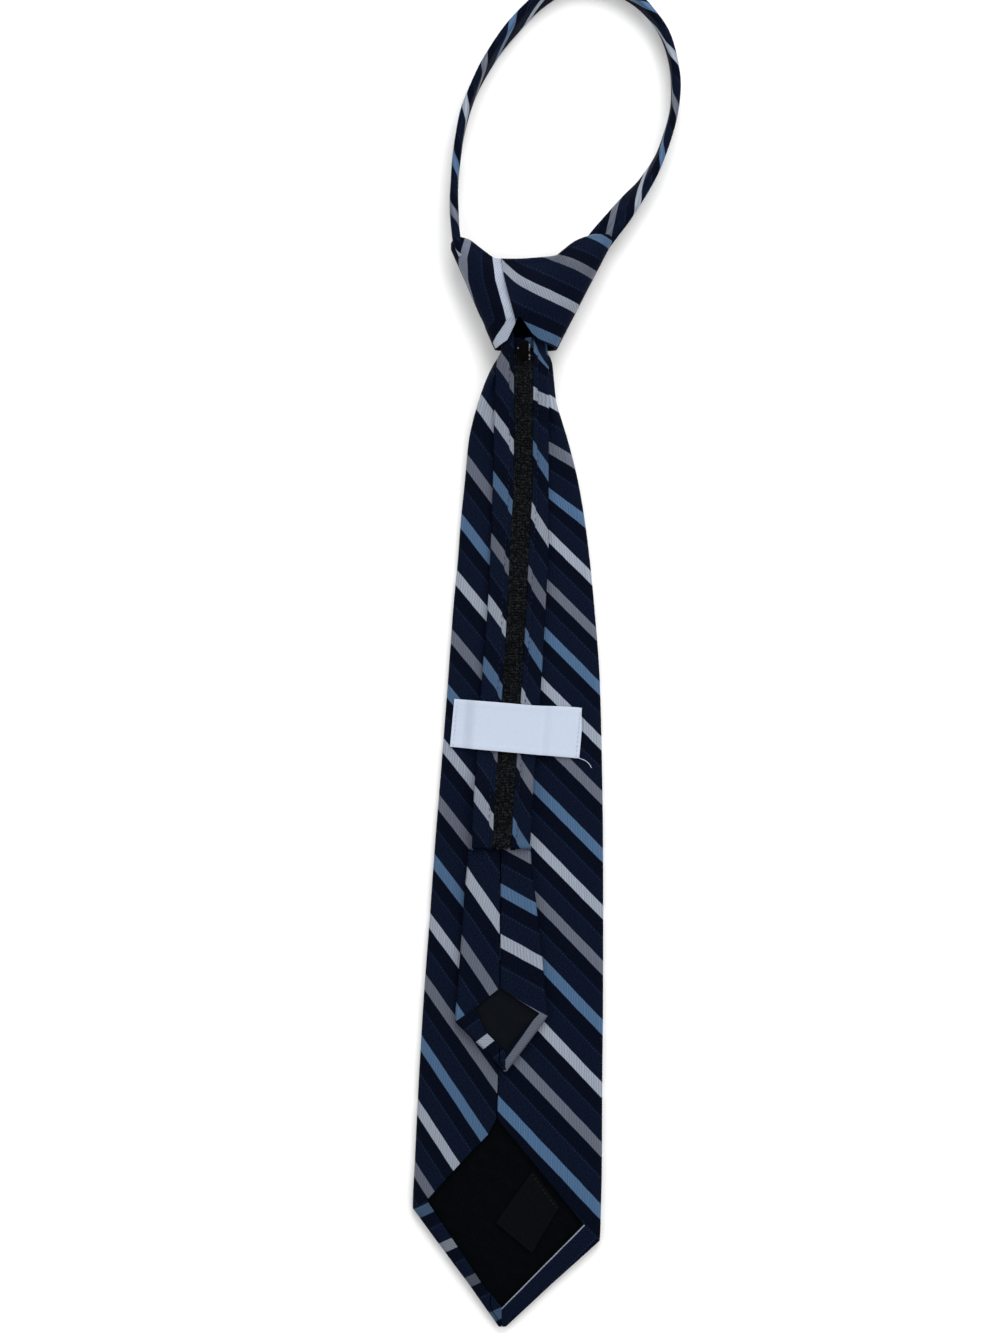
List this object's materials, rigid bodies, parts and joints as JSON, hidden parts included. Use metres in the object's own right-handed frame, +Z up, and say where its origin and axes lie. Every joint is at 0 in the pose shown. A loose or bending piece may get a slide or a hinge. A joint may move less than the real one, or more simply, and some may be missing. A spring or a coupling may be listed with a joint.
{
  "type": "zipper tie",
  "caption": "Pre-tied necktie with a zipper behind the blade that draws up its neck loop, lying face down with its back up.",
  "frame": {"origin": "middle of the bounding box in plan, on the surface that the tie lies on", "axes": "+Y from the tip of the blade towards the neck loop, +X to the right as seen from the back, +Z up out of the back of the tie"},
  "size_m": [0.1088, 0.55, 0.02],
  "materials": {
    "striped_silk": "woven twill, navy with diagonal silver, grey and light blue stripes",
    "black_satin": "satin lining",
    "black_tag": "smooth woven tag, bare",
    "zipper_tape": "knit tape",
    "zipper_coil": "fine coil under knit stitches",
    "slider_enamel": "black enamel, bare at the edges",
    "pale_label": "woven satin label, bare"
  },
  "bodies": {
    "root": {"front_blade": "striped_silk", "blade_lining": "black_satin", "care_tag": "black_tag", "tail_blade": "striped_silk", "tail_lining": "black_satin", "zip_band_left": "striped_silk", "zip_band_right": "striped_silk", "zip_tape_left": "zipper_tape", "zip_tape_right": "zipper_tape", "zip_coil": "zipper_coil", "zip_slider": "slider_enamel", "keeper_label": "pale_label", "knot_front": "striped_silk", "knot_back_left": "striped_silk", "knot_back_right": "striped_silk", "neck_loop": "striped_silk"}
  },
  "joints": []
}
